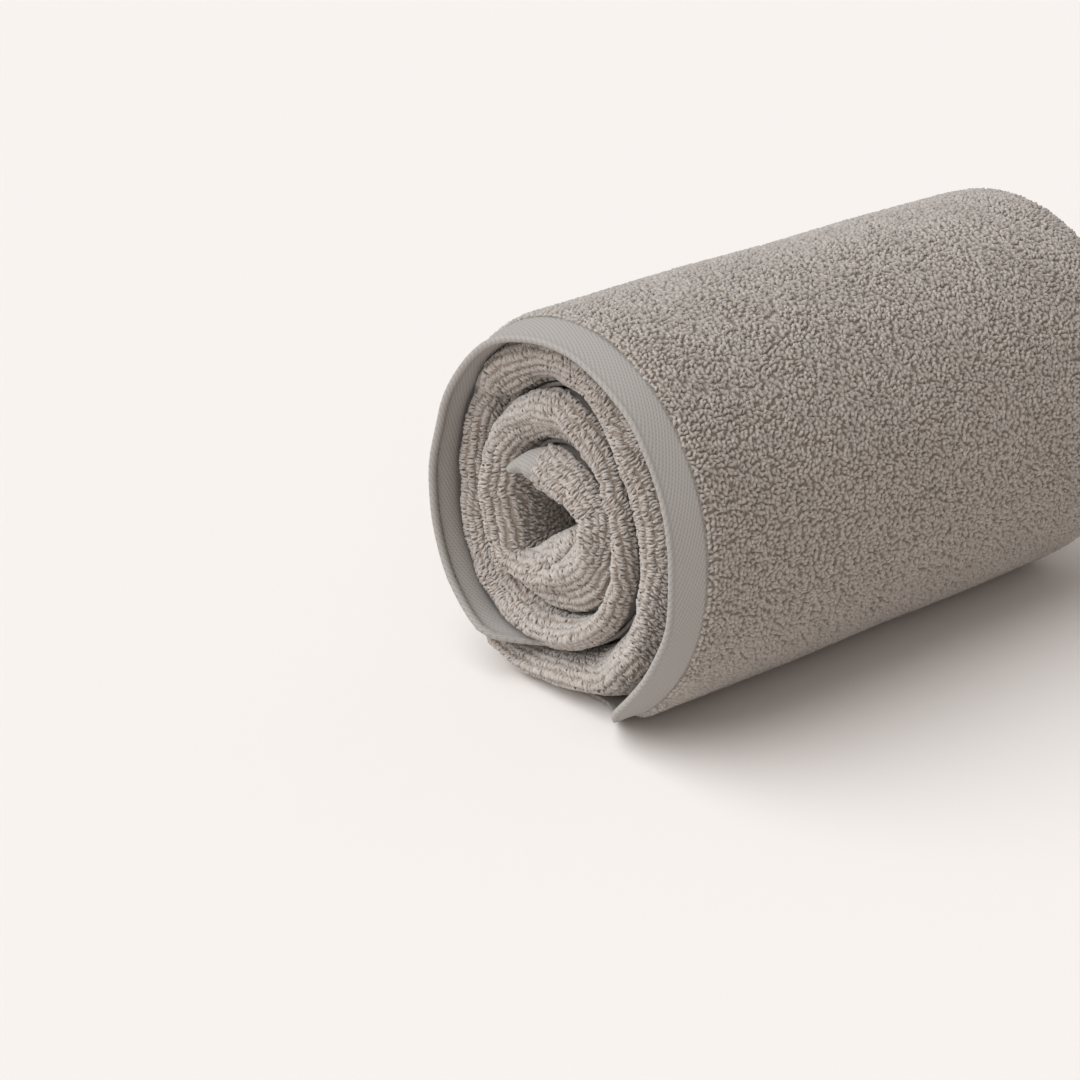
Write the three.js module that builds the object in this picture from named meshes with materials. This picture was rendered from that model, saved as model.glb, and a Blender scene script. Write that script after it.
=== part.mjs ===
// Rolled spa towel: one cloth folded in half, then lengthwise in thirds, and wound up on its side.
// Millimetres, +Z up. The roll's axis runs along Y and the open end with the hem faces -Y.
// The origin is the middle of the bounding box, on the surface that the roll lies on.
import * as THREE from 'three';

// Driving dimensions
const ROLL_RADIUS = 75;          // mean radius over the terry loops
const ROLL_LENGTH = 241;         // from the free edge of the hem to the far fold
const REST_DEPTH = 72.6;         // height of the winding centre over the flat spot
const HEM_WIDTH = 14.7;          // flat woven band along the free edge, measured along the axis
const STEP_TO_TERRY = 1.8;       // from the hem's face up to the top of the terry loops
const HEM_LEAN = 6.3;            // how far the free edge is drawn in below the terry
const WRAP_THICKNESS = 6.4;      // outermost layer of cloth with its loops, where the first fold starts
const HEM_EDGE = 1.8;            // thickness of the hem at its free edge
const HEM_CORNER = 0.5;          // how far the corners of that edge are rounded back
const FIRST_CREST = 9;           // how far the first fold lies behind the hem's edge
const CORE_CREST = 6;            // the same for the innermost fold
const CREASE_DEPTH = 17;         // depth of the creases between two turns, from the hem's edge
const HEM_INNER_DEPTH = 13;      // depth at which the hem's inner face meets the first fold
const FAR_CREASE = 8;            // depth of the creases at the far end
const PIT_DEPTH = 12;            // the open core goes this much deeper than the creases

// Shape of the outermost turn: a round section that leans a little
const OVAL_UPRIGHT = 0.028;
const OVAL_LEAN = 0.022;

// The winding starts at the lower left and goes under the roll, right, up and over, with its turn
// angle in degrees
const START_TURN = -120;
const END_TURN = 855;
const TURN_STEP = 7.5;
const ROWS_PER_TURN = 360 / TURN_STEP;
const LAST_ROW = (END_TURN - START_TURN) / TURN_STEP;
const OUTLINE_END = 205;         // up to here the outer face is the round section
const CORE_SHIFT = new THREE.Vector2(-8.5, -1);
const SHIFT_FROM = 200;
const SHIFT_TO = 500;

// Outer face of the later turns, as a radius about the shifting centre: one row for each place
// where the folds bulge out or are drawn in
const WINDING = [
  { turn: 205, radius: 74.8 },
  { turn: 217, radius: 75.2 },
  { turn: 229, radius: 74.5 },   // lower left, where the outermost turn starts to dive in
  { turn: 240, radius: 71 },     // passes over the start of the cloth
  { turn: 250, radius: 65 },
  { turn: 262, radius: 57.5 },
  { turn: 285, radius: 48.5 },   // under the roll
  { turn: 320, radius: 41 },
  { turn: 355, radius: 37.5 },   // pressed in at the right
  { turn: 395, radius: 38.5 },
  { turn: 423, radius: 44.5 },
  { turn: 445, radius: 49 },     // bulges at the top
  { turn: 480, radius: 46 },
  { turn: 510, radius: 43 },     // pressed in at the left
  { turn: 545, radius: 43 },
  { turn: 578, radius: 45 },     // bulges at the lower left
  { turn: 605, radius: 41.5 },
  { turn: 665, radius: 36.5 },   // lower right
  { turn: 707, radius: 30.5 },
  { turn: 731, radius: 29 },     // right
  { turn: 755, radius: 26.5 },
  { turn: 785, radius: 25.5 },   // upper right
  { turn: 828, radius: 26 },     // the back of the flap
  { turn: 855, radius: 28 },     // the tip of the flap
];

// Wall of the open core, which is the inner face of the last turn
const CORE_WALL = [
  { turn: 495, x: -28, z: 19 },    // above the flap
  { turn: 512, x: -34, z: 10 },
  { turn: 550, x: -34, z: -9 },    // the left side
  { turn: 580, x: -30, z: -24 },   // the lower corner
  { turn: 615, x: -13, z: -11 },
  { turn: 650, x: -2, z: -3 },
  { turn: 700, x: 6, z: -1 },      // the corner at the right
  { turn: 750, x: 2, z: 1 },
  { turn: 785, x: -5, z: 3 },      // the underside of the flap
  { turn: 828, x: -19, z: 5 },
  { turn: 843, x: -25, z: 8.5 },
  { turn: 855, x: -28, z: 13 },    // the tip of the flap
];

// Profile of the outermost layer: distance in from the outer face, and depth from the hem's edge
const PROUD_HEM = [
  { inward: 0, depth: HEM_WIDTH + STEP_TO_TERRY },
  { inward: STEP_TO_TERRY, depth: HEM_WIDTH },
  { inward: STEP_TO_TERRY + 0.5 * (HEM_LEAN - STEP_TO_TERRY), depth: 0.5 * HEM_WIDTH },
  { inward: HEM_LEAN, depth: HEM_CORNER },
  { inward: HEM_LEAN + 0.5 * HEM_EDGE, depth: 0 },
  { inward: HEM_LEAN + HEM_EDGE, depth: HEM_CORNER },
  { inward: WRAP_THICKNESS, depth: HEM_INNER_DEPTH },
];

// The same layer where it runs on inside the roll, drawn back between two folds
const TUCKED_HEM = [
  { inward: 0, depth: CREASE_DEPTH },
  { inward: 0.5, depth: CREASE_DEPTH - 1.2 },
  { inward: 0.9, depth: CREASE_DEPTH - 2 },
  { inward: 1.3, depth: CREASE_DEPTH - 2.4 },
  { inward: 1.7, depth: CREASE_DEPTH - 2.5 },
  { inward: 2.1, depth: CREASE_DEPTH - 2.3 },
  { inward: 2.6, depth: CREASE_DEPTH - 1.2 },
];
const TUCK_FROM = 236;
const TUCK_TO = 262;

// The hem comes out from under the roll to a point on the resting surface
const TIP_FROM = -84;
const TIP_TO = -54;

// How far the two ends of the cloth are rounded out
const START_NOSE = 5;
const CORE_NOSE = 1;

// On the resting surface the hem lies flat instead of leaning in
const FLAT_TO = -75;
const LEAN_FROM = -40;
const FLAT_LEAN = 0.15;

// Where the columns across a rounded fold lie, from its outer to its inner side
const FOLD_ACROSS = [0.05, 0.15, 0.3, 0.5, 0.7, 0.85, 0.95, 1];
const FOLD_ROUNDNESS = 0.5;

// Stations along the axis between the two ends, and how much the roll swells there
const STATIONS = [
  { along: 40, swell: 0.3 },
  { along: 85, swell: 0.9 },
  { along: 130, swell: 0.2 },
  { along: 175, swell: 0.7 },
  { along: 218, swell: 0.1 },
];

const smooth = (value, from, to) => THREE.MathUtils.smoothstep(value, from, to);
const turnOf = (row) => START_TURN + TURN_STEP * row;

// Rise of a rounded fold: 0 in the crease at either side, 1 at its crest
const foldRise = (across) => (1 - (2 * across - 1) ** 2) ** FOLD_ROUNDNESS;

// Reads a table at a turn angle, with a smooth curve through its rows
function readTable(table, column, turn) {
  const last = table.length - 1;
  let i = 0;
  while (i < last - 1 && table[i + 1].turn < turn) i += 1;
  const a = table[i];
  const b = table[i + 1];
  const before = table[Math.max(i - 1, 0)];
  const after = table[Math.min(i + 2, last)];
  const span = b.turn - a.turn;
  const t = THREE.MathUtils.clamp((turn - a.turn) / span, 0, 1);
  const slopeA = ((b[column] - before[column]) / (b.turn - before.turn)) * span;
  const slopeB = ((after[column] - a[column]) / (after.turn - a.turn)) * span;
  const t2 = t * t;
  const t3 = t2 * t;
  return (2 * t3 - 3 * t2 + 1) * a[column] + (t3 - 2 * t2 + t) * slopeA
    + (3 * t2 - 2 * t3) * b[column] + (t3 - t2) * slopeB;
}

// Outer face of the winding at a turn angle, as a point of the section (x, z)
function outerFace(turn, swell = 0) {
  const angle = THREE.MathUtils.degToRad(turn);
  const shift = smooth(turn, SHIFT_FROM, SHIFT_TO);
  let radius = ROLL_RADIUS * (1 - OVAL_UPRIGHT * Math.cos(2 * angle) + OVAL_LEAN * Math.sin(2 * angle));
  if (turn > OUTLINE_END) radius = readTable(WINDING, 'radius', turn);
  radius += swell;
  const x = CORE_SHIFT.x * shift + radius * Math.cos(angle);
  const z = CORE_SHIFT.y * shift + radius * Math.sin(angle);
  return new THREE.Vector2(x, Math.max(z, -REST_DEPTH));
}

// Inner face of the same layer: the next turn's outer face, or the wall of the open core
function innerFace(row) {
  if (row + ROWS_PER_TURN <= LAST_ROW) return outerFace(turnOf(row + ROWS_PER_TURN));
  const turn = turnOf(row);
  return new THREE.Vector2(readTable(CORE_WALL, 'x', turn), readTable(CORE_WALL, 'z', turn));
}

// Places a point of a row between its outer and inner face. The rows at the two ends of the
// cloth are rounded out along the winding.
function acrossRow(row, outer, inner, across, depth) {
  const noses = { 0: -START_NOSE, [LAST_ROW]: CORE_NOSE };
  const nose = (noses[row] ?? 0) * 4 * across * (1 - across);
  const inward = inner.clone().sub(outer).normalize();
  const point = outer.clone().lerp(inner, across);
  return new THREE.Vector3(point.x + nose * inward.y, depth, point.y - nose * inward.x);
}

// Near end of one row: points from the outer face, over the hem, across the rounded fold
function nearRow(row) {
  const turn = turnOf(row);
  const outer = outerFace(turn);
  const inner = innerFace(row);
  const thickness = outer.distanceTo(inner);
  const start = 1 - smooth(turn, TIP_FROM, TIP_TO);
  const tucked = Math.max(start, smooth(turn, TUCK_FROM, TUCK_TO));
  const lean = THREE.MathUtils.lerp(FLAT_LEAN, 1, smooth(turn, FLAT_TO, LEAN_FROM));
  const crest = THREE.MathUtils.mapLinear(turn, START_TURN, turnOf(LAST_ROW), FIRST_CREST, CORE_CREST);
  const hem = PROUD_HEM.map((proud, i) => {
    const leaning = i < PROUD_HEM.length - 1 ? proud.inward * lean : proud.inward;
    return {
      inward: THREE.MathUtils.lerp(leaning, TUCKED_HEM[i].inward, tucked),
      depth: THREE.MathUtils.lerp(proud.depth, TUCKED_HEM[i].depth, tucked),
    };
  });
  const foldStart = hem[hem.length - 1].inward;
  const fold = FOLD_ACROSS.map((across) => ({
    inward: THREE.MathUtils.lerp(foldStart, thickness, across),
    depth: THREE.MathUtils.lerp(CREASE_DEPTH, crest, foldRise(across)),
  }));
  return [...hem, ...fold].map((place) => (
    acrossRow(row, outer, inner, place.inward / thickness, place.depth)
  ));
}

// Far end of one row: the plain rounded fold, with as many points as the near end
function farRow(row) {
  const outer = outerFace(turnOf(row));
  const inner = innerFace(row);
  const last = PROUD_HEM.length + FOLD_ACROSS.length - 1;
  return Array.from({ length: last + 1 }, (_, i) => {
    const across = i / last;
    return acrossRow(row, outer, inner, across, ROLL_LENGTH - FAR_CREASE * (1 - foldRise(across)));
  });
}

// Collects vertices and faces, so that neighbouring strips share their edges
class Shell {
  constructor() {
    this.points = [];
    this.faces = [];
  }

  add(point) {
    this.points.push(point);
    return this.points.length - 1;
  }

  quad(a, b, c, d) {
    this.faces.push([a, b, c], [a, c, d]);
  }

  // Joins two closed rings of the same length
  band(from, to) {
    from.forEach((a, i) => {
      const next = (i + 1) % from.length;
      this.quad(a, from[next], to[next], to[i]);
    });
  }

  geometry() {
    const box = new THREE.Box3().setFromPoints(this.points);
    const centre = box.getCenter(new THREE.Vector3());
    const offset = new THREE.Vector3(centre.x, centre.y, box.min.z);
    const places = this.points.flatMap((point) => point.clone().sub(offset).toArray());
    const geometry = new THREE.BufferGeometry();
    geometry.setAttribute('position', new THREE.Float32BufferAttribute(places, 3));
    geometry.setIndex(this.faces.flat());
    geometry.computeVertexNormals();
    return geometry;
  }
}

// Lays the rows of one end into the shell. A row's last point is the first point of the row
// one turn later, so the end is one spiral strip. The far end's faces are turned over.
function woundEnd(shell, makeRow, turnedOver) {
  const rows = [];
  for (let row = LAST_ROW; row >= 0; row -= 1) {
    const points = makeRow(row);
    const shared = row + ROWS_PER_TURN <= LAST_ROW;
    rows[row] = points.map((point, i) => {
      const isInner = i === points.length - 1;
      return isInner && shared ? rows[row + ROWS_PER_TURN][0] : shell.add(point);
    });
  }
  for (let row = 0; row < LAST_ROW; row += 1) {
    for (let i = 0; i < rows[row].length - 1; i += 1) {
      const corners = [rows[row][i], rows[row + 1][i], rows[row + 1][i + 1], rows[row][i + 1]];
      if (turnedOver) corners.reverse();
      shell.quad(...corners);
    }
  }
  return rows;
}

// Rim of the open core: the last turn's inner face, closed by the end of the cloth
function coreRim(rows) {
  const firstFree = LAST_ROW - ROWS_PER_TURN + 1;
  const wall = rows.slice(firstFree, LAST_ROW + 1).map((row) => row[row.length - 1]);
  const clothEnd = rows[LAST_ROW].slice(0, -1).reverse();
  return [...wall, ...clothEnd];
}

// Sinks the open core below the creases and closes its bottom
function corePit(shell, rows, bottom, turnedOver) {
  const rim = coreRim(rows);
  const floor = rim.map((i) => shell.add(new THREE.Vector3(shell.points[i].x, bottom, shell.points[i].z)));
  const outline = floor.map((i) => new THREE.Vector2(shell.points[i].x, shell.points[i].z));
  const faces = THREE.ShapeUtils.triangulateShape(outline, []);
  const anticlockwise = THREE.ShapeUtils.area(outline) > 0;
  if (turnedOver) shell.band(floor, rim);
  else shell.band(rim, floor);
  faces.forEach(([a, b, c]) => {
    const flip = anticlockwise === turnedOver;
    shell.faces.push(flip ? [floor[a], floor[c], floor[b]] : [floor[a], floor[b], floor[c]]);
  });
}

// Rim of the round side: the first turn's outer face, closed by the start of the cloth
function sideRim(rows) {
  const outer = rows.slice(0, ROWS_PER_TURN + 1).map((row) => row[0]);
  const clothStart = rows[0].slice(1, -1).reverse();
  return [...outer, ...clothStart];
}

// The round side between the two ends, with the flat spot that it rests on
function roundSide(shell, nearRows, farRows) {
  const nearRim = sideRim(nearRows);
  const farRim = sideRim(farRows);
  const columns = nearRows[0].length;
  const rings = STATIONS.map(({ along, swell }) => {
    const outer = Array.from({ length: ROWS_PER_TURN + 1 }, (_, row) => {
      const share = 1 - smooth(turnOf(row), OUTLINE_END, turnOf(ROWS_PER_TURN));
      return outerFace(turnOf(row), swell * share);
    });
    const start = [];
    for (let i = columns - 2; i > 0; i -= 1) {
      const near = shell.points[nearRows[0][i]];
      start.push(new THREE.Vector2(near.x, near.z));
    }
    return [...outer, ...start].map((point) => shell.add(new THREE.Vector3(point.x, along, point.y)));
  });
  [nearRim, ...rings, farRim].reduce((from, to) => {
    shell.band(to, from);
    return to;
  });
}

function towelRoll() {
  const shell = new Shell();
  const nearRows = woundEnd(shell, nearRow, false);
  const farRows = woundEnd(shell, farRow, true);
  roundSide(shell, nearRows, farRows);
  corePit(shell, nearRows, CREASE_DEPTH + PIT_DEPTH, false);
  corePit(shell, farRows, ROLL_LENGTH - FAR_CREASE - PIT_DEPTH, true);
  const terry = new THREE.MeshStandardMaterial({ color: 0x9a928a, roughness: 0.95, metalness: 0 });
  const mesh = new THREE.Mesh(shell.geometry(), terry);
  mesh.name = 'towel_roll';
  return mesh;
}

const towel = new THREE.Group();
towel.add(towelRoll());

export default towel;
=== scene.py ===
import math
import bpy
import numpy as np
from mathutils import Matrix, Vector


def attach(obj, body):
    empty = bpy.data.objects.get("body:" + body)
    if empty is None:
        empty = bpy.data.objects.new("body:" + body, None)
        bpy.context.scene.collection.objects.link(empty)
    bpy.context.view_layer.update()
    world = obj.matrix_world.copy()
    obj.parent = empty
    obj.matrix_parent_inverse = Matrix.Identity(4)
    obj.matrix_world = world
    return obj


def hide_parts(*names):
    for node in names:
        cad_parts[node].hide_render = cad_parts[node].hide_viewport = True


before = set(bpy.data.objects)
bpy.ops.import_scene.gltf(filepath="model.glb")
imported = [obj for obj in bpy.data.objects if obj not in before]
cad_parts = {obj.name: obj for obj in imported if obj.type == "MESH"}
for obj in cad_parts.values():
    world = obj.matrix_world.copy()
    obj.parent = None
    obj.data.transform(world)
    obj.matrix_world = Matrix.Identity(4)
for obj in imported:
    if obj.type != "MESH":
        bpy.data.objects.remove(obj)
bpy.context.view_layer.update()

# Rolled spa towel: the whole cloth as one thin sheet, folded in half, then lengthwise in thirds, and rolled.
# Metres, +Z up. The roll's axis runs along Y and the open end with the proud hem faces -Y.
MM = 0.001

# Driving dimensions. The outermost layer and the flap's end are a little fuller here than in the solid.
ROLL_RADIUS = 75 * MM
ROLL_LENGTH = 241 * MM
REST_DEPTH = 72.6 * MM
HEM_WIDTH = 14.7 * MM
STEP_TO_TERRY = 1.8 * MM          # from the hem's face up to the tops of the loops
STEP_WIDTH = 1.8 * MM             # how far that step reaches along the axis
HEM_LEAN = 6.3 * MM
WRAP_THICKNESS = 7.2 * MM
TUCKED_WRAP = 2.6 * MM
TUCKED_DEPTH = 21 * MM
TUCK_FADE = 45 * MM               # depth at which the tuck has faded out
FIRST_CREST = 9 * MM
CORE_CREST = 6 * MM
CREASE_DEPTH = 17 * MM
FAR_CREASE = 8 * MM
CREASE_MARGIN = 3                 # how much deeper than the solid's creases the folds start, in millimetres
UNDER_MARGIN = 13                 # how much deeper again under the roll
UNDER_TURNS = (-120, -90, -45, -5)  # turns at which that sets in, is full, starts to fade and has gone
FOLD_NEST = 3 * MM                # how far the outer half of the cloth lies behind the inner in the near fold
OVAL_UPRIGHT = 0.028
OVAL_LEAN = 0.022
START_TURN = -120
END_TURN = 855
OUTLINE_END = 205
CORE_SHIFT = np.array([-8.5, -1]) * MM
SHIFT_FROM = 200
SHIFT_TO = 500
TUCK_FROM = 236
TUCK_TO = 262
TIP_FROM = -84
TIP_TO = -54
START_NOSE = 5 * MM
END_NOSE = 2.5 * MM
FLAT_TO = -75
FLAT_BLEND = 18
LEAN_FROM = -40
FLAT_LEAN = 0.15

# Outer face of the later turns: turn angle in degrees, radius in millimetres about the shifting centre
WINDING = [
    (205, 74.8),
    (217, 75.2),
    (229, 74.5),
    (240, 71),
    (250, 65),
    (262, 57.5),
    (285, 48.5),
    (320, 41),
    (355, 37.5),
    (395, 38.5),
    (423, 44.5),
    (445, 49),
    (480, 46),
    (510, 43),
    (545, 43),
    (578, 45),
    (605, 41.5),
    (665, 36.5),
    (707, 30.5),
    (731, 29),
    (755, 26.5),
    (785, 25.5),
    (828, 27),
    (855, 27.5),
]

# Wall of the open core: turn angle in degrees, x and z in millimetres
CORE_WALL = [
    (495, -28, 19),
    (512, -34, 10),
    (550, -34, -9),
    (580, -30, -24),
    (615, -13, -11),
    (650, -2, -3),
    (700, 6, -1),
    (750, 2, 1),
    (785, -5, 3),
    (828, -19, 4.5),
    (843, -24, 7),
    (855, -26.5, 9.5),
]
CORE_MIDDLE = np.array([-22, 0]) * MM
CORE_CLOSED = 0.99                # share by which the core draws together deep inside the roll
CORE_CLOSE_DEPTH = (45 * MM, 90 * MM)

# How far the round side swells between the two ends: place along the axis and swell, in millimetres
SWELL = [(0, 0), (40, 0.3), (85, 0.9), (130, 0.2), (175, 0.7), (218, 0.1), (241, 0)]

# Folds at the open end: turn angle, where the crest lies across the fold (0 outside, 1 inside), then how far
# the fold falls back from it and over what width in millimetres, first to its outer, then to its inner side
FOLDS = [
    (-120, 0.50, 5, 8, 3, 8),
    (-103, 0.50, 14, 9, 2.5, 8),
    (-84, 0.50, 22, 9, 2, 8),
    (-54, 0.58, 24, 10, 1.5, 6),
    (-30, 0.75, 17, 11, 1, 5),
    (-5, 0.93, 10, 14, 0.5, 4),
    (35, 0.90, 8, 14, 1, 4),
    (65, 0.75, 5, 12, 1.5, 6),
    (90, 0.50, 3.5, 10, 3, 9),
    (135, 0.40, 2.5, 8, 5, 12),
    (180, 0.45, 2.5, 8, 4, 10),
    (225, 0.50, 4, 8, 3, 8),
    (270, 0.50, 4, 8, 2.5, 8),
    (315, 0.45, 2.5, 6, 2.5, 7),
    (355, 0.30, 1.5, 5, 4, 8),
    (395, 0.25, 1, 5, 4, 8),
    (425, 0.30, 1.5, 5, 5, 12),
    (450, 0.30, 2, 6, 7, 14),
    (495, 0.25, 1.5, 5, 6, 12),
    (545, 0.30, 1.5, 5, 6, 11),
    (590, 0.40, 2, 6, 4, 9),
    (630, 0.50, 4, 8, 2.5, 9),
    (700, 0.55, 3, 7, 1.5, 6),
    (760, 0.50, 3, 7, 1.5, 6),
    (828, 0.50, 2, 6, 1.5, 6),
    (855, 0.50, 1, 4, 1, 3),
]

# Creases, pockets and, with a negative depth, bulges in those folds: the turn angle and place across the fold
# of both ends, then depth and half width in millimetres
CREASES = [
    (-110, 0.75, -60, 0.86, 1.5, 1.5),
    (-80, 0.48, -20, 0.68, 1.8, 1.5),
    (-20, 0.68, 55, 0.68, 2.2, 1.5),
    (-45, 0.55, 40, 0.56, 1.5, 1.5),
    (55, 0.68, 88, 0.40, 2.0, 1.6),
    (98, 0.93, 110, 0.90, 7, 2.6),
    (112, 0.45, 128, 0.50, -2.0, 5.0),
    (133, 0.88, 142, 0.86, 8, 2.8),
    (136, 0.80, 150, 0.30, 2.6, 1.8),
    (155, 0.90, 166, 0.88, 7, 2.4),
    (150, 0.45, 215, 0.55, 1.6, 1.5),
    (182, 0.92, 190, 0.92, 7, 2.4),
    (198, 0.95, 222, 0.90, 5, 2.0),
    (226, 0.10, 231, 0.10, 7, 2.6),
    (228, 0.70, 262, 0.92, 2.0, 1.6),
    (245, 0.35, 320, 0.36, 1.7, 1.4),
    (262, 0.70, 330, 0.72, 1.6, 1.4),
    (340, 0.62, 400, 0.66, 1.8, 1.8),
    (400, 0.66, 432, 0.62, 1.8, 2.0),
    (438, 0.80, 452, 0.78, 3.0, 4.0),
    (455, 0.12, 500, 0.14, 1.2, 1.4),
    (470, 0.55, 520, 0.45, 1.5, 1.4),
    (520, 0.60, 575, 0.50, 1.4, 1.5),
    (590, 0.30, 640, 0.30, 1.6, 1.4),
    (614, 0.52, 640, 0.66, 2.6, 1.7),
    (640, 0.66, 672, 0.88, 3.4, 1.8),
    (690, 0.30, 740, 0.34, 1.8, 1.6),
    (745, 0.55, 790, 0.45, 1.5, 1.6),
]

# The cloth
PILE = 1.4 * MM                   # from the ground weave up to the tops of the loops
FLAT_PILE = 0.25 * MM             # the same where the roll's weight presses the loops flat
CLOTH_HALF = 0.9 * MM             # half the thickness of the cloth without its loops
MOST_PILE = 0.1                   # most of the width that some layers share that the pile on a side takes
MOST_HALF = 0.4                   # most of the way from layer to layer that half a layer's thickness takes
MOST_WRAP = 0.4                   # most of the folded strip's thickness that its outermost layer takes
WRAP_HALF = 0.3                   # most of that layer's thickness that half its cloth takes
HIDDEN_PLACE = 0.6                # how far from that layer towards the fold the cloth's other edge lies
EDGE_WAVE = 0.6                   # how far the hem's free edge wanders in depth, as a share of its wave
START_REACH = 0.6                 # how far the cloth bends round at its start, as a share of its thickness
TAKEN_ROOM = 0.85                 # share of a tucked hem's room that the fold beside it takes up
TAKEN_RISE = (0.1, 0.5)           # how far up its bend the fold starts to do so and does so in full
TURN_STEP = 4.875

# Loops
SIDE_PITCH = 1.66 * MM
RIB_PITCH = 3.0 * MM
ALONG_RIB = 0.78 * MM
FAR_RIB_PITCH = 2.3 * MM
FAR_ALONG_RIB = 1.5 * MM
RIB_SWAY = 0.35                   # how far the ribs wander, as a share of their pitch
LOOPS_A_PIECE = 11000
LOWEST_LOOP = 0.8 * MM            # no loop starts closer than this to the surface that the roll rests on

# Stitches
STITCH_PITCH = 2.3 * MM
STITCH_LENGTH = 1.9 * MM
STITCH_SLANT = 0.16
STITCH_TURNS = (-78, 222)
THREAD_RADIUS = 0.36 * MM
THREAD_SIDES = 6

# Rings of thread that make up one stitch: place along it, share of the thread's radius and lift
STITCH_RINGS = [
    (-0.5, 0.45, -0.25),
    (-0.22, 1.0, 0.25),
    (0.22, 1.0, 0.25),
    (0.5, 0.45, -0.25),
]

random = np.random.default_rng(7)


def smooth(value, low, high):
    t = np.clip((np.asarray(value, float) - low) / (high - low), 0, 1)
    return t * t * (3 - 2 * t)


def mix(a, b, share):
    return a + (b - a) * share


def unit(vectors):
    return vectors / np.maximum(np.linalg.norm(vectors, axis=-1, keepdims=True), 1e-12)


def read_table(table, column, turn):
    """A smooth curve through one column of a table, read at the given turn angles."""
    rows = np.array(table, float)
    keys, values = rows[:, 0], rows[:, column]
    last = len(rows) - 1
    i = np.clip(np.searchsorted(keys, turn) - 1, 0, last - 1)
    before, after = np.maximum(i - 1, 0), np.minimum(i + 2, last)
    span = keys[i + 1] - keys[i]
    t = np.clip((turn - keys[i]) / span, 0, 1)
    slope_a = (values[i + 1] - values[before]) / (keys[i + 1] - keys[before]) * span
    slope_b = (values[after] - values[i]) / (keys[after] - keys[i]) * span
    return (
        (2 * t**3 - 3 * t**2 + 1) * values[i]
        + (t**3 - 2 * t**2 + t) * slope_a
        + (3 * t**2 - 2 * t**3) * values[i + 1]
        + (t**3 - t**2) * slope_b
    )


def outer_face(turn, swell=0.0):
    """Outer face of the winding at each turn angle, as points (x, z) about the winding centre."""
    angle = np.radians(turn)
    shift = smooth(turn, SHIFT_FROM, SHIFT_TO)
    outline = ROLL_RADIUS * (1 - OVAL_UPRIGHT * np.cos(2 * angle) + OVAL_LEAN * np.sin(2 * angle))
    radius = np.where(turn > OUTLINE_END, read_table(WINDING, 1, turn) * MM, outline) + swell
    x = CORE_SHIFT[0] * shift + radius * np.cos(angle)
    z = CORE_SHIFT[1] * shift + radius * np.sin(angle)
    return np.stack([x, np.maximum(z, -REST_DEPTH)], -1)


def inner_face(turn):
    """Inner face of the same turn: the next turn's outer face, or the wall of the open core."""
    wall = np.stack([read_table(CORE_WALL, 1, turn), read_table(CORE_WALL, 2, turn)], -1) * MM
    inside = (turn + 360 > END_TURN)[..., None]
    return np.where(inside, wall, outer_face(turn + 360))


def wrap_tuck(turn):
    start = 1 - smooth(turn, TIP_FROM, TIP_TO)
    return np.maximum(start, smooth(turn, TUCK_FROM, TUCK_TO))


def layers(width, count):
    """Pile depth, half thickness and places of a number of layers that share a width, evenly spaced."""
    pile = np.minimum(PILE, MOST_PILE * width)
    half = np.minimum(CLOTH_HALF, MOST_HALF * (width - 2 * pile) / (count - 1 + 2 * MOST_HALF))
    gap = (width - 2 * (pile + half)) / (count - 1)
    return pile, half, [pile + half + gap * i for i in range(count)]


# Rows of the sheet across its width, from the free edge at the near end to the other one inside the roll
HEM_ROWS = np.array([0, 0.4, 1, 1.8, 2.6, 3.2, 4.2, 7, 10, 12.5, 13.4, 13.9, 14.3, 14.7]) * MM
BORDER_ROWS = np.array([15.3, 16.5, 19]) * MM
SIDE_ROWS = np.array([26, 40, 62, 85, 108, 130, 152, 175, 196, 214, 226]) * MM
INNER_ROWS = np.array([200, 150, 90, 45, 28]) * MM
LAST_ROWS = np.array([28, 45, 90, 150, 190]) * MM
FAR_BEND = 11
NEAR_BEND = 27
FAR_BEND_POWER = 0.8              # a bend's depth follows a sine to this power: the smaller, the blunter
NEAR_BEND_POWER = 0.6
FIRST_THIRD = len(HEM_ROWS) + len(BORDER_ROWS) + len(SIDE_ROWS)
FAR_BEND_END = FIRST_THIRD + FAR_BEND - 2
NEAR_BEND_START = FAR_BEND_END + len(INNER_ROWS)
NEAR_BEND_END = NEAR_BEND_START + NEAR_BEND - 2
BORDER_STITCH = 13.9 * MM
EDGE_STITCH = 3.1 * MM
END_HEM_TURN = 826                # past this turn the cloth's short end is hemmed too
GROOVE = 0.35 * MM
GROOVE_WIDTH = 0.35 * MM
RIM_DEPTH = 1.8 * MM
HEM_FILL = 3.3 * MM               # how much the loops behind the hem push its inner face towards the fold
HEM_FILL_DEPTH = (2.6 * MM, 10.5 * MM)
HIDDEN_EDGE = 34 * MM             # depth of the cloth's other near edge, which lies inside the fold
NEAR_FOLD = (20 * MM, 60 * MM)    # depths between which the layers leave the near fold
FAR_FOLD = (192 * MM, 224 * MM)   # depths between which they enter the far fold
FAR_NEST = 2.6 * MM               # how far the inner half lies behind the outer in the far fold

# Half thickness of the hem towards its free edge: depth in millimetres and share of the cloth's
HEM_EDGE = [
    (0, 0.5),
    (0.4, 1.1),
    (1, 1.5),
    (1.8, 1.55),
    (2.6, 1.15),
    (3.2, 0.8),
    (4.2, 1),
]


def hem_wave(turn, start):
    """A soft wave along the hem's free edge."""
    a = np.radians(turn)
    return (0.45 * np.sin(5.1 * a + start) + 0.3 * np.sin(11.3 * a + 2 * start + 1.0)) * MM


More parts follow.
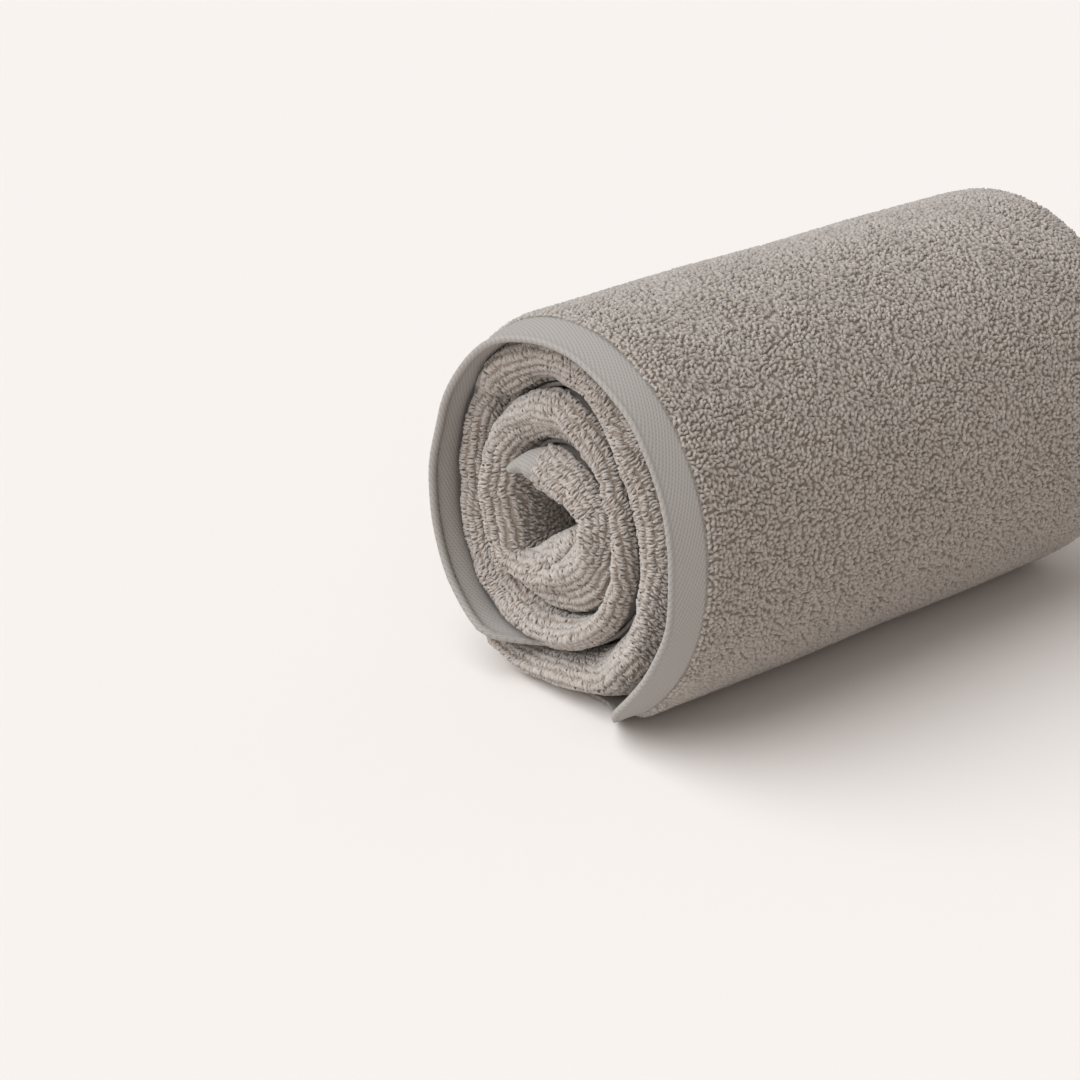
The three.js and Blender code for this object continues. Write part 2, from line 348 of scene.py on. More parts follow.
def fold_lumps(turn, share):
    """How unevenly the crest of the near folds lies, along the winding and across the fold."""
    a = np.radians(turn)
    long_wave = np.sin(1.9 * a + 0.6) + 0.7 * np.sin(4.3 * a + 2.0) + 0.5 * np.sin(9.7 * a + 3 * share)
    short_wave = np.sin(17 * a + 5 * share) + np.sin(23 * a - 7 * share + 1.0)
    return (0.8 * long_wave + 0.35 * short_wave) * MM


def fold_shape(turn, share, thickness):
    """How far the near folds fall back from their crest, with their creases and bulges."""
    peak, outer_fall, outer_width, inner_fall, inner_width = (
        read_table(FOLDS, column, turn) for column in (1, 2, 3, 4, 5)
    )
    inward = (share - peak) * thickness / MM
    fall = outer_fall * smooth(-inward / outer_width, 0, 1) + inner_fall * smooth(inward / inner_width, 0, 1)
    fall = fall * MM
    radius = np.linalg.norm(outer_face(turn) - CORE_SHIFT, axis=-1) - share * thickness
    for from_turn, from_share, to_turn, to_share, deep, wide in CREASES:
        nearest = np.clip(turn, from_turn, to_turn)
        line = mix(from_share, to_share, (nearest - from_turn) / (to_turn - from_turn))
        across = (share - line) * thickness
        along = np.radians(turn - nearest) * radius
        fall = fall + deep * MM * np.exp(-(across**2 + along**2) / (wide * MM) ** 2)
    return fall


def sheet_rows(turn, half_cloth):
    """Distance inward and depth of each row of the sheet's middle, with its half thickness, at each turn.
    half_cloth is 0 for the outer half of the folded cloth and 1 for the inner half."""
    turn = turn[:, None]
    thickness = np.linalg.norm(inner_face(turn[:, 0]) - outer_face(turn[:, 0]), axis=-1)[:, None]
    tucked = wrap_tuck(turn)
    lean = mix(FLAT_LEAN, 1, smooth(turn, FLAT_TO, LEAN_FROM))
    crest = mix(FIRST_CREST, CORE_CREST, (turn - START_TURN) / (END_TURN - START_TURN))
    wrap = np.minimum(mix(WRAP_THICKNESS, TUCKED_WRAP, tucked), MOST_WRAP * thickness)
    pressed = 1 - smooth(turn, FLAT_TO, FLAT_TO + FLAT_BLEND)
    pile, half, places = layers(thickness, 6)
    fold_pile, fold_half, fold_places = layers(thickness - wrap, 4)
    far_pile, far_half, far_places = layers(thickness, 4)
    outer_pile = mix(pile, FLAT_PILE, pressed)

    def near(depth):
        return 1 - smooth(depth, *NEAR_FOLD)

    def far(depth):
        return smooth(depth, *FAR_FOLD)

    rows = []

    def add(inward, depth, thick):
        rows.append(np.broadcast_arrays(inward, depth, thick))

    third = [(0, 3, 4), (1, 2, 5)][half_cloth]
    near_fold = [(1, 2), (0, 3)][half_cloth]
    far_fold = [(0, 3), (1, 2)][half_cloth]
    for depth in [*HEM_ROWS, *BORDER_ROWS, *SIDE_ROWS]:
        in_hem = 1 - smooth(depth, HEM_WIDTH, HEM_WIDTH + STEP_WIDTH)
        sunk = depth + tucked * TUCKED_DEPTH * (1 - smooth(depth, 0, TUCK_FADE))
        thick = np.minimum(half, WRAP_HALF * wrap)
        if half_cloth == 0:
            edge = np.interp(depth / MM, *np.array(HEM_EDGE).T)
            free = 1 - min(depth / HEM_WIDTH, 1)
            leaning = mix(STEP_TO_TERRY, HEM_LEAN * lean, free) + CLOTH_HALF + hem_wave(turn, 0.0) * free
            leaning = leaning + GROOVE * np.exp(-(((depth - BORDER_STITCH) / GROOVE_WIDTH) ** 2))
            fill = 0.5 * HEM_FILL * smooth(depth, *HEM_FILL_DEPTH)
            rim = CLOTH_HALF * (edge - 1) * smooth(depth, 0, RIM_DEPTH)
            leaning = leaning + fill + rim
            sunk = sunk + EDGE_WAVE * np.abs(hem_wave(turn, 2.0)) * free
            hem = mix(leaning, 0.5 * wrap, tucked)
            plain = outer_pile + half
            middle = mix(mix(plain, hem, in_hem), far_places[0], far(depth))
            add(middle, sunk, mix(half, mix(CLOTH_HALF * edge + fill, thick, tucked), in_hem))
        else:
            lower = HIDDEN_EDGE + (depth / SIDE_ROWS[-1]) * (SIDE_ROWS[-1] - HIDDEN_EDGE)
            at = mix(places[1], mix(places[0] + half, wrap, HIDDEN_PLACE), near(lower))
            add(mix(at, far_places[1], far(lower)), lower, thick)
    far_top = ROLL_LENGTH - far_pile - far_half
    far_base = ROLL_LENGTH - FAR_CREASE - CREASE_MARGIN * MM
    if half_cloth == 1:
        far_top = far_top - FAR_NEST
    for angle in np.linspace(0, math.pi, FAR_BEND)[1:-1]:
        share = 0.5 * (1 - math.cos(angle))
        across = mix(far_places[far_fold[0]], far_places[far_fold[1]], share)
        rise = math.sin(angle) ** FAR_BEND_POWER
        add(across, far_base + (far_top - far_base) * rise, far_half)
    for depth in INNER_ROWS:
        at = mix(places[third[1]], fold_places[near_fold[0]], near(depth))
        at = mix(at, far_places[far_fold[1]], far(depth))
        add(at + wrap * near(depth), depth, half)
    near_top = crest + fold_pile + fold_half
    under = smooth(turn, *UNDER_TURNS[:2]) * (1 - smooth(turn, *UNDER_TURNS[2:]))
    near_base = CREASE_DEPTH + (CREASE_MARGIN + UNDER_MARGIN * under) * MM
    if half_cloth == 0:
        near_top = near_top + FOLD_NEST
    for angle in np.linspace(0, math.pi, NEAR_BEND)[1:-1]:
        share = 0.5 * (1 - math.cos(angle))
        rise = math.sin(angle) ** NEAR_BEND_POWER
        opened = wrap * (1 - TAKEN_ROOM * tucked * smooth(rise, *TAKEN_RISE))
        spread = (thickness - opened) / (thickness - wrap)
        across = opened + spread * mix(fold_places[near_fold[0]], fold_places[near_fold[1]], share)
        fall = fold_shape(turn[:, 0], across[:, 0] / thickness[:, 0], thickness[:, 0])[:, None]
        fall = fall + fold_lumps(turn, across / thickness)
        add(across, near_base + (near_top - near_base) * rise + fall * rise, fold_half)
    for depth in LAST_ROWS:
        at = mix(places[third[2]], fold_places[near_fold[1]] + wrap, near(depth))
        add(at, depth, half)
    inward, depth, thick = (np.stack([r[k][:, 0] for r in rows], 1) for k in range(3))
    return inward / thickness, depth, thick


def place(turn, share, depth):
    """Points of the cloth in the frame, from turn angle, share of the way inward and depth."""
    swell = np.interp(depth / MM, *np.array(SWELL).T) * MM
    outermost = 1 - smooth(turn, OUTLINE_END, START_TURN + 360)
    angles = np.broadcast_to(turn[:, None], depth.shape)
    outer = outer_face(angles, swell * outermost[:, None])
    inner = inner_face(angles)
    from_end = np.minimum(depth, ROLL_LENGTH - depth)
    closing = CORE_CLOSED * smooth(from_end, *CORE_CLOSE_DEPTH)
    drawn = mix(inner, CORE_MIDDLE, closing[..., None])
    inner = np.where((angles + 360 > END_TURN)[..., None], drawn, inner)
    point = mix(outer, inner, share[..., None])
    return np.stack([point[..., 0], depth - ROLL_LENGTH / 2, point[..., 1] + REST_DEPTH], -1)


def cloth_grid():
    """The sheet's middle as a grid of points, from the core along the outer half, round the fold and back."""
    turns = np.arange(START_TURN, END_TURN + TURN_STEP / 2, TURN_STEP)
    share_a, depth_a, half_a = sheet_rows(turns, 0)
    share_b, depth_b, half_b = sheet_rows(turns, 1)
    outer_half = place(turns, share_a, depth_a)
    inner_half = place(turns, share_b, depth_b)
    back = np.array([math.sin(math.radians(START_TURN)), 0, -math.cos(math.radians(START_TURN))])
    onward = np.array([-math.sin(math.radians(END_TURN)), 0, math.cos(math.radians(END_TURN))])
    for grid, share in ((outer_half, share_a), (inner_half, share_b)):
        grid[0] += back * (START_NOSE * 4 * share[0] * (1 - share[0]))[:, None]
        grid[-1] += onward * (END_NOSE * 4 * share[-1] * (1 - share[-1]))[:, None]
    bend = []
    for angle in np.radians([45, 90, 135]):
        across = mix(outer_half[0], inner_half[0], 0.5 * (1 - math.cos(angle)))
        reach = START_REACH * np.linalg.norm(outer_half[0] - inner_half[0], axis=-1, keepdims=True)
        bend.append(across + back * reach * math.sin(angle))
    middle = np.concatenate([outer_half[::-1], np.array(bend), inner_half])
    half = np.concatenate([half_a[::-1], np.repeat(half_a[:1], 3, 0), half_b])
    turn = np.concatenate([turns[::-1], np.full(3, float(START_TURN)), turns])
    return middle, half, turn


def distance_along(line):
    """Distance of each point of a line from its first point, measured along it."""
    return np.concatenate([[0], np.cumsum(np.linalg.norm(np.diff(line, axis=0), axis=-1))])


def distance_across(grid):
    """The same along each column of a grid of points, from its first row."""
    steps = np.linalg.norm(np.diff(grid, axis=1), axis=-1)
    return np.concatenate([np.zeros((len(grid), 1)), np.cumsum(steps, 1)], 1)


def grid_normals(grid):
    return unit(np.cross(np.gradient(grid, axis=0), np.gradient(grid, axis=1)))


def make_material(name):
    material = bpy.data.materials.new(name)
    material.use_nodes = True
    nodes = material.node_tree.nodes
    return material, nodes, material.node_tree.links, nodes["Principled BSDF"]


def math_node(material, operation, *values):
    """A math node's output. Each value is a number or another node's output."""
    node = material.node_tree.nodes.new("ShaderNodeMath")
    node.operation = operation
    for socket, value in zip(node.inputs, values):
        if isinstance(value, (int, float)):
            socket.default_value = value
        else:
            material.node_tree.links.new(value, socket)
    return node.outputs[0]


def ramp_node(material, value, low, high, high_at=1.0):
    """A colour that runs from low to high with the value."""
    node = material.node_tree.nodes.new("ShaderNodeValToRGB")
    node.color_ramp.elements[0].color = (*low, 1)
    node.color_ramp.elements[1].color = (*high, 1)
    node.color_ramp.elements[1].position = high_at
    material.node_tree.links.new(value, node.inputs["Fac"])
    return node.outputs["Color"]


def add_bump(material, height, strength, distance):
    node = material.node_tree.nodes.new("ShaderNodeBump")
    node.inputs["Strength"].default_value = strength
    node.inputs["Distance"].default_value = distance
    material.node_tree.links.new(height, node.inputs["Height"])
    shader = material.node_tree.nodes["Principled BSDF"]
    material.node_tree.links.new(node.outputs["Normal"], shader.inputs["Normal"])


def terry_material(name, low, high):
    """Loop yarn, uneven from loop to loop, with the twist of the yarn as fine bump, and painted shade that
    darkens each loop towards its root.
    """
    material, nodes, links, shader = make_material(name)
    pile = nodes.new("ShaderNodeAttribute")
    pile.attribute_name = "pile"
    parts = nodes.new("ShaderNodeSeparateColor")
    links.new(pile.outputs["Color"], parts.inputs["Color"])
    # The pile attribute's green is how high up its loop a point lies; the ramp turns low values into painted
    # shade at the roots.
    colour = ramp_node(material, parts.outputs["Green"], low, high, 0.8)
    noise = nodes.new("ShaderNodeTexNoise")
    noise.inputs["Scale"].default_value = 60
    noise.inputs["Detail"].default_value = 3
    uneven = math_node(material, "MULTIPLY_ADD", noise.outputs["Fac"], 0.3, 0.75)
    each = math_node(material, "MULTIPLY_ADD", parts.outputs["Red"], 0.22, uneven)
    tint = nodes.new("ShaderNodeVectorMath")
    tint.operation = "SCALE"
    links.new(colour, tint.inputs[0])
    links.new(each, tint.inputs["Scale"])
    links.new(tint.outputs[0], shader.inputs["Base Color"])
    fine = nodes.new("ShaderNodeTexNoise")
    fine.inputs["Scale"].default_value = 2600
    add_bump(material, fine.outputs["Fac"], 0.35, 0.15 * MM)
    shader.inputs["Roughness"].default_value = 0.95
    shader.inputs["Specular IOR Level"].default_value = 0.15
    shader.inputs["Sheen Weight"].default_value = 0.25
    return material


def hem_material():
    """Flat twill: fine slanting ribs broken into yarns, a little lighter than the terry."""
    material, nodes, links, shader = make_material("hem_twill")
    place_on = nodes.new("ShaderNodeAttribute")
    place_on.attribute_name = "cloth"

    def ribs(direction, pitch):
        along = nodes.new("ShaderNodeVectorMath")
        along.operation = "DOT_PRODUCT"
        slant = math.radians(direction)
        along.inputs[1].default_value = (
            math.cos(slant) * 2 * math.pi / pitch,
            math.sin(slant) * 2 * math.pi / pitch,
            0,
        )
        links.new(place_on.outputs["Vector"], along.inputs[0])
        return math_node(material, "SINE", along.outputs["Value"])

    def spread(value, low, high):
        node = nodes.new("ShaderNodeMapRange")
        node.inputs["From Min"].default_value = low
        node.inputs["From Max"].default_value = high
        links.new(value, node.inputs["Value"])
        return node.outputs["Result"]

    rib = ribs(68, 1.15 * MM)
    yarn = ribs(-20, 1.0 * MM)
    shade = spread(math_node(material, "MULTIPLY_ADD", yarn, 0.14, rib), -1.3, 1.3)
    dash = spread(math_node(material, "ADD", rib, ribs(20, 1.15 * MM)), -1.9, -0.6)
    weighed = math_node(material, "MULTIPLY", dash, 0.65)
    both = math_node(material, "MULTIPLY_ADD", shade, 0.35, weighed)
    colour = ramp_node(material, both, (0.27, 0.24, 0.215), (0.38, 0.355, 0.333))
    links.new(colour, shader.inputs["Base Color"])
    add_bump(material, shade, 0.5, 0.13 * MM)
    shader.inputs["Roughness"].default_value = 0.85
    shader.inputs["Specular IOR Level"].default_value = 0.2
    shader.inputs["Sheen Weight"].default_value = 0.15
    return material


# The low colour of the loops and of the ground is painted shade: the yarn darkened where the loops meet the
# ground between their neighbours.
TERRY_ROOT_SHADE = (0.27, 0.22, 0.18)
TERRY_HIGH = (0.46, 0.415, 0.38)
loop_yarn = terry_material("terry_loops", TERRY_ROOT_SHADE, TERRY_HIGH)
# A lighter copy of the loop yarn for the folds at the ends and the core: painted light there, with less
# painted shade at the roots.
lit_end_yarn = terry_material("terry_end_loops_painted_light", (0.35, 0.285, 0.24), (0.48, 0.435, 0.4))
# The ground shows only between the loops; its darker colour is painted shade there.
ground = terry_material("terry_ground_painted_shade", TERRY_ROOT_SHADE, (0.38, 0.32, 0.27))
twill = hem_material()
# The thread is darker than its own colour: partly its real tone, partly painted shade for the groove it lies
# sunk in.
thread = terry_material("hem_thread", (0.12, 0.1, 0.085), (0.26, 0.232, 0.21))


def make_piece(name, points, faces, materials):
    points[:, 2] = np.maximum(points[:, 2], 0)
    mesh = bpy.data.meshes.new(name)
    mesh.from_pydata(points.tolist(), [], faces.tolist())
    mesh.polygons.foreach_set("use_smooth", np.ones(len(mesh.polygons), bool))
    for material in materials:
        mesh.materials.append(material)
    piece = bpy.data.objects.new(name, mesh)
    bpy.context.scene.collection.objects.link(piece)
    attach(piece, "root")
    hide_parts("towel_roll")
    return piece


def point_attribute(piece, name, kind, values):
    attribute = piece.data.attributes.new(name, kind, "POINT")
    field = "color" if kind == "FLOAT_COLOR" else "vector"
    attribute.data.foreach_set(field, values.astype(np.float32).ravel())


middle, half, column_turn = cloth_grid()
columns, rows = middle.shape[:2]
normal = grid_normals(middle)
probe_column, probe_row = 10, 20
away = middle[probe_column, probe_row] - middle[:, probe_row].mean(0)
if normal[probe_column, probe_row] @ away < 0:
    normal = -normal
face = middle + normal * half[..., None]
reverse = middle - normal * half[..., None]
face[..., 2] = np.maximum(face[..., 2], 0)
reverse[..., 2] = np.maximum(reverse[..., 2], 0)


def closed_sheet():
    index = np.arange(columns * rows).reshape(columns, rows)
    a, b, c, d = index[:-1, :-1], index[1:, :-1], index[1:, 1:], index[:-1, 1:]
    front = np.stack([a, b, c, d], -1).reshape(-1, 4)
    under = front[:, ::-1] + columns * rows
    rim = np.concatenate([index[:-1, 0], index[-1, :-1], index[:0:-1, -1], index[0, :0:-1]])
    after = np.roll(rim, -1)
    edge = np.stack([after, rim, rim + columns * rows, after + columns * rows], -1)
    points = np.concatenate([face.reshape(-1, 3), reverse.reshape(-1, 3)])
    return points, np.concatenate([front, under, edge])


points, faces = closed_sheet()
cloth = make_piece("towel_cloth", points, faces, [ground, twill])
hem_face = np.zeros((columns - 1, rows - 1), bool)
hem_face[:, :len(HEM_ROWS) - 1] = True
column_face_turn = 0.5 * (column_turn[1:] + column_turn[:-1])
hem_face[column_face_turn > END_HEM_TURN] = True
face_kind = hem_face.ravel().astype(np.int32)
rim_kind = np.ones(len(faces) - 2 * len(face_kind), np.int32)
cloth.data.polygons.foreach_set("material_index", np.concatenate([face_kind, face_kind, rim_kind]))
cloth_along = distance_along(middle[:, len(HEM_ROWS)])
flat_place = np.stack(np.broadcast_arrays(cloth_along[:, None], distance_across(middle), 0.0), -1)
point_attribute(cloth, "cloth", "FLOAT_VECTOR", np.concatenate([flat_place.reshape(-1, 3)] * 2))
# The ground's colour is painted shade: near the dark root colour on the round side, lighter from the first
# third on, round the folds at the ends.
ground_shade_tone = np.tile([0.5, 0.05, 0, 1.0], (columns, rows, 1))
ground_shade_tone[:, FIRST_THIRD:, 1] = 0.8
point_attribute(cloth, "pile", "FLOAT_COLOR", np.concatenate([ground_shade_tone.reshape(-1, 4)] * 2))

# Loops of the terry, as short arched tubes on the face of the cloth: where their rings lie from end to end,
# how high and how wide each is, and the size of the whole
SECTION = np.radians([-25, 55, 125, 205])        # the yarn's upper side, from one flank over to the other
LOOP_SPAN = 0.8                                  # share of a loop's length from its first ring to its last
SHORT_LOOP = {
    "place": [0.0, 0.5, 1.0],
    "rise": [-0.3, 1.0, -0.3],
    "width": [0.9, 1.08, 0.9],
    "length": 2.9 * MM,
    "height": 1.25 * MM,
    "radius": 0.66 * MM,
    "bow": 0.45,
}
FULL_LOOP = {
    "place": [0.0, 0.3, 0.7, 1.0],
    "rise": [-0.55, 0.9, 0.9, -0.55],
    "width": [0.85, 1, 1, 0.85],
    "length": 3.5 * MM,
    "height": 1.4 * MM,
    "radius": 0.5 * MM,
    "bow": 0.2,
}


class Patch:
    """A stretch of the sheet's face, read at a column and row that need not be whole numbers."""

    def __init__(self, first_column, last_column, first_row, last_row):
        self.points = face[first_column:last_column + 1, first_row:last_row + 1]
        self.normals = face_normal[first_column:last_column + 1, first_row:last_row + 1]
        self.columns, self.rows = self.points.shape[:2]

    def read(self, grid, column, row):
        i = np.clip(column.astype(int), 0, self.columns - 2)
        j = np.clip(row.astype(int), 0, self.rows - 2)
        u, v = (column - i)[:, None], (row - j)[:, None]
        low = grid[i, j] * (1 - v) + grid[i, j + 1] * v
        high = grid[i + 1, j] * (1 - v) + grid[i + 1, j + 1] * v
        return low * (1 - u) + high * u

    def frame(self, column, row):
        point = self.read(self.points, column, row)
        step = 0.3
        along = self.read(self.points, np.minimum(column + step, self.columns - 1), row)
        along = unit(along - self.read(self.points, np.maximum(column - step, 0), row))
        normal = unit(self.read(self.normals, column, row))
        along = unit(along - normal * (along * normal).sum(-1, keepdims=True))
        return point, normal, along, np.cross(normal, along)


def spaced_along(patch, row, pitch, uneven):
    """Columns along a row of a patch, a pitch apart and scattered by a share of it."""
    whole = np.arange(patch.columns, dtype=float)
    along = distance_along(patch.read(patch.points, whole, row))
    count = int(along[-1] / pitch)
    places = np.arange(count) + random.random() + uneven * random.uniform(-1, 1, count)
    return np.interp(places / count * along[-1], along, whole)


def on_patch(patch, columns, rows):
    column, row = np.concatenate(columns), np.concatenate(rows)
    return np.clip(column, 0, patch.columns - 1), np.clip(row, 0, patch.rows - 1)


def in_rows(patch, pitch_across, pitch_along, uneven):
    """Places in rows that run along the columns of a patch. uneven is the scatter as a share of the pitch."""
    across = distance_across(patch.points).mean(0)
    row_count = int(across[-1] / pitch_across)
    columns, rows = [], []
    for n in range(row_count):
        row = np.interp((n + 0.5) / row_count * across[-1], across, np.arange(patch.rows))
        column = spaced_along(patch, np.full(patch.columns, row), pitch_along, uneven)
        columns.append(column)
        rows.append(row + uneven * random.uniform(-1, 1, len(column)) * (patch.rows - 1) / row_count)
    return on_patch(patch, columns, rows)


def in_ribs(patch, pitch_across, pitch_along, uneven):
    """Places in ribs that keep their distance from the middle row of a patch, and end where it is narrow."""
    across = distance_across(patch.points)
    middle_across = across[:, patch.rows // 2]
    most = int(across[:, -1].max() / pitch_across)
    whole = np.arange(patch.columns, dtype=float)
    rows_a_metre = 1 / np.maximum(np.gradient(across, axis=1).mean(1), 1e-6)
    columns, rows = [], []
    for n in range(-most, most):
        sway = RIB_SWAY * pitch_across * (np.sin(0.13 * whole + 0.5 * n) + np.sin(0.31 * whole))
        target = middle_across + (n + 0.5) * pitch_across + sway
        inside = (target > 0) & (target < across[:, -1])
        if not inside.any():
            continue
        row = np.array([np.interp(t, a, np.arange(patch.rows)) for t, a in zip(target, across)])
        column = spaced_along(patch, row, pitch_along, uneven)
        shift = uneven * pitch_across * random.uniform(-1, 1, len(column))
        shift = shift * np.interp(column, whole, rows_a_metre)
        kept = np.interp(column, whole, inside.astype(float)) > 0.5
        columns.append(column[kept])
        rows.append((np.interp(column, whole, row) + shift)[kept])
    return on_patch(patch, columns, rows)


def wander_field(points, waves):
    """A smooth uneven value about 0 over the points, from a few crossing waves of the given lengths."""
    value = np.zeros(len(points))
    for length in waves:
        direction = unit(random.normal(size=3)) * 2 * math.pi / length
        value += np.sin(points @ direction + random.random() * 2 * math.pi)
    return value / math.sqrt(len(waves))


def loop_mesh(name, point, normal, first, second, angle, shape, yarn):
    """Arched tubes at the points, each turned by its angle in the plane of the cloth."""
    count = len(point)
    length = shape["length"] * random.uniform(0.8, 1.2, count)
    height = shape["height"] * random.uniform(0.82, 1.12, count)
    radius = shape["radius"] * random.uniform(0.85, 1.15, count)
    bow = length * shape["bow"] * random.uniform(-1, 1, count)
    lean = length * random.normal(0, 0.12, count)
    heading = first * np.cos(angle)[:, None] + second * np.sin(angle)[:, None]
    beside = np.cross(normal, heading)
    rings = []
    for place_along, rise, width in zip(shape["place"], shape["rise"], shape["width"]):
        arc = math.sin(math.pi * place_along)
        centre = (
            point
            + heading * (length * (place_along - 0.5) * LOOP_SPAN)[:, None]
            + beside * (bow * (arc - 0.5) + lean * arc)[:, None]
            + normal * ((height - radius) * rise)[:, None]
        )
        rings.append((centre, radius * width))
    centres = np.stack([r[0] for r in rings], 1)
    radii = np.stack([r[1] for r in rings], 1)
    tangent = unit(np.gradient(centres, axis=1))
    side = unit(np.cross(tangent, np.broadcast_to(normal[:, None], tangent.shape)))
    top = np.cross(side, tangent)
    corners = [
        centres + (side * math.cos(spin) + top * math.sin(spin)) * radii[..., None]
        for spin in SECTION
    ]
    points = np.stack(corners, 2).reshape(-1, 3)
    ring_count, corner_count = len(shape["place"]), len(SECTION)
    base = np.arange(count)[:, None, None] * ring_count * corner_count
    ring = np.arange(ring_count - 1)[None, :, None] * corner_count
    first_corner = base + ring + np.arange(corner_count - 1)[None, None]
    quads = np.stack([
        first_corner,
        first_corner + 1,
        first_corner + corner_count + 1,
        first_corner + corner_count,
    ], -1).reshape(-1, 4)
    tone = np.repeat(random.random(count), ring_count * corner_count)
    # How high up the loop each ring lies, which the yarn's material turns into painted shade at the root.
    rise = np.tile(np.repeat(np.maximum(shape["rise"], 0), corner_count), count)
    colours = np.stack([tone, rise, np.zeros_like(tone), np.ones_like(tone)], -1)
    piece = make_piece(name, points, quads, [yarn])
    point_attribute(piece, "pile", "FLOAT_COLOR", colours)
    return piece


def loops(name, patch, column, row, angle_of, shape, yarn):
    """Loops at places of a patch, in pieces of a limited size."""
    point, normal, along, across = patch.frame(column, row)
    lifted = point[:, 2] > LOWEST_LOOP
    point, normal, along, across = (v[lifted] for v in (point, normal, along, across))
    angle = angle_of(point)
    made = []
    for n, start in enumerate(range(0, len(point), LOOPS_A_PIECE)):
        part = slice(start, start + LOOPS_A_PIECE)
        made.append(loop_mesh(
            f"{name}_{n + 1}", point[part], normal[part], along[part], across[part], angle[part], shape, yarn,
        ))
    return made


face_normal = grid_normals(face)
if (face_normal * normal).sum() < 0:
    face_normal = -face_normal
half_columns = int(round((END_TURN - START_TURN) / TURN_STEP)) + 1


def outer_column(turn):
    return int(round((END_TURN - turn) / TURN_STEP))


def inner_column(turn):
    return half_columns + 3 + int(round((turn - START_TURN) / TURN_STEP))


FIRST_LOOP_ROW = len(HEM_ROWS) - 1
SIDE_LOOPS_END = 256              # turn at which the round side has gone in under the cloth's start
pieces = []

side = Patch(outer_column(SIDE_LOOPS_END), outer_column(START_TURN), FIRST_LOOP_ROW, FIRST_THIRD - 1)
pieces += loops(
    "side_loops", side, *in_rows(side, SIDE_PITCH, SIDE_PITCH, 0.42),
    lambda point: 1.3 * wander_field(point, [0.05, 0.035, 0.02, 0.012]) + random.normal(0, 0.55, len(point)),
    SHORT_LOOP, loop_yarn,
)

start_folds = Patch(
    outer_column(START_TURN), inner_column(START_TURN + TURN_STEP), FIRST_LOOP_ROW, rows - 1,
)
pieces += loops(
    "start_loops", start_folds, *in_rows(start_folds, SIDE_PITCH, SIDE_PITCH, 0.3),
    lambda point: random.normal(0, 0.5, len(point)), SHORT_LOOP, loop_yarn,
)

near_folds = Patch(half_columns, inner_column(END_HEM_TURN), NEAR_BEND_START, NEAR_BEND_END)
pieces += loops(
    "near_loops", near_folds, *in_ribs(near_folds, RIB_PITCH, ALONG_RIB, 0.22),
    lambda point: math.pi / 2 + 0.4 * wander_field(point, [0.03, 0.02]) + random.normal(0, 0.22, len(point)),
    FULL_LOOP, lit_end_yarn,
)

far_folds = Patch(outer_column(END_TURN), outer_column(START_TURN), FIRST_THIRD - 1, FAR_BEND_END)
pieces += loops(
    "far_loops", far_folds, *in_ribs(far_folds, FAR_RIB_PITCH, FAR_ALONG_RIB, 0.22),
    lambda point: math.pi / 2 + 0.5 * wander_field(point, [0.03, 0.02]) + random.normal(0, 0.3, len(point)),
    SHORT_LOOP, lit_end_yarn,
)

core_wall = Patch(inner_column(END_TURN - 360), inner_column(END_TURN), NEAR_BEND_END, NEAR_BEND_END + 3)
pieces += loops(
    "core_loops", core_wall, *in_rows(core_wall, SIDE_PITCH, SIDE_PITCH, 0.42),
    lambda point: math.pi / 2 + random.normal(0, 0.5, len(point)),
    SHORT_LOOP, lit_end_yarn,
)


def stitches(name, depth, surface, outward, turns):
    """A line of sewn stitches along the hem, lying in their groove on one face of it."""
    row = np.interp(depth, HEM_ROWS, np.arange(len(HEM_ROWS)))
    line_turns = np.arange(turns[0], turns[1], 0.25)
    column = np.interp(-line_turns, -column_turn[:half_columns], np.arange(half_columns))
    i, j = column.astype(int), int(row)
    u, v = (column - i)[:, None], row - j

    def read(grid):
        low = mix(grid[i, j], grid[i, j + 1], v)
        high = mix(grid[i + 1, j], grid[i + 1, j + 1], v)
        return mix(low, high, u)

    line, up = read(surface), unit(read(outward))
    along = distance_along(line)
    places = np.arange(STITCH_PITCH, along[-1] - STITCH_PITCH, STITCH_PITCH)
    places = places + random.normal(0, 0.05 * STITCH_PITCH, len(places))
    centre = np.stack([np.interp(places, along, line[:, k]) for k in range(3)], -1)
    normal = unit(np.stack([np.interp(places, along, up[:, k]) for k in range(3)], -1))
    heading = unit(np.gradient(centre, axis=0))
    beside = np.cross(normal, heading)
    heading = unit(heading + beside * STITCH_SLANT)
    beside = np.cross(normal, heading)
    corners = []
    for at, width, lift in STITCH_RINGS:
        ring_centre = centre + heading * at * STITCH_LENGTH + normal * (lift + 0.4) * THREAD_RADIUS
        for spin in np.radians(np.arange(THREAD_SIDES) * 360 / THREAD_SIDES):
            spoke = beside * math.cos(spin) + normal * math.sin(spin)
            corners.append(ring_centre + spoke * width * THREAD_RADIUS)
    points = np.stack(corners, 1).reshape(-1, 3)
    stitch = np.arange(len(centre))[:, None, None] * len(corners)
    base = stitch + np.arange(len(STITCH_RINGS) - 1)[None, :, None] * THREAD_SIDES
    k = np.arange(THREAD_SIDES)[None, None]
    after = (k + 1) % THREAD_SIDES
    following = base + THREAD_SIDES
    quads = np.stack([base + k, base + after, following + after, following + k], -1).reshape(-1, 4)
    piece = make_piece(name, points, quads, [thread])
    tone = np.repeat(random.random(len(centre)), len(corners))
    colours = np.stack([tone, np.full_like(tone, 0.7), np.zeros_like(tone), np.ones_like(tone)], -1)
    point_attribute(piece, "pile", "FLOAT_COLOR", colours)
    return piece


pieces.append(stitches("border_stitches", BORDER_STITCH, face, normal, STITCH_TURNS))
pieces.append(stitches("edge_stitches", EDGE_STITCH, reverse, -normal, STITCH_TURNS))


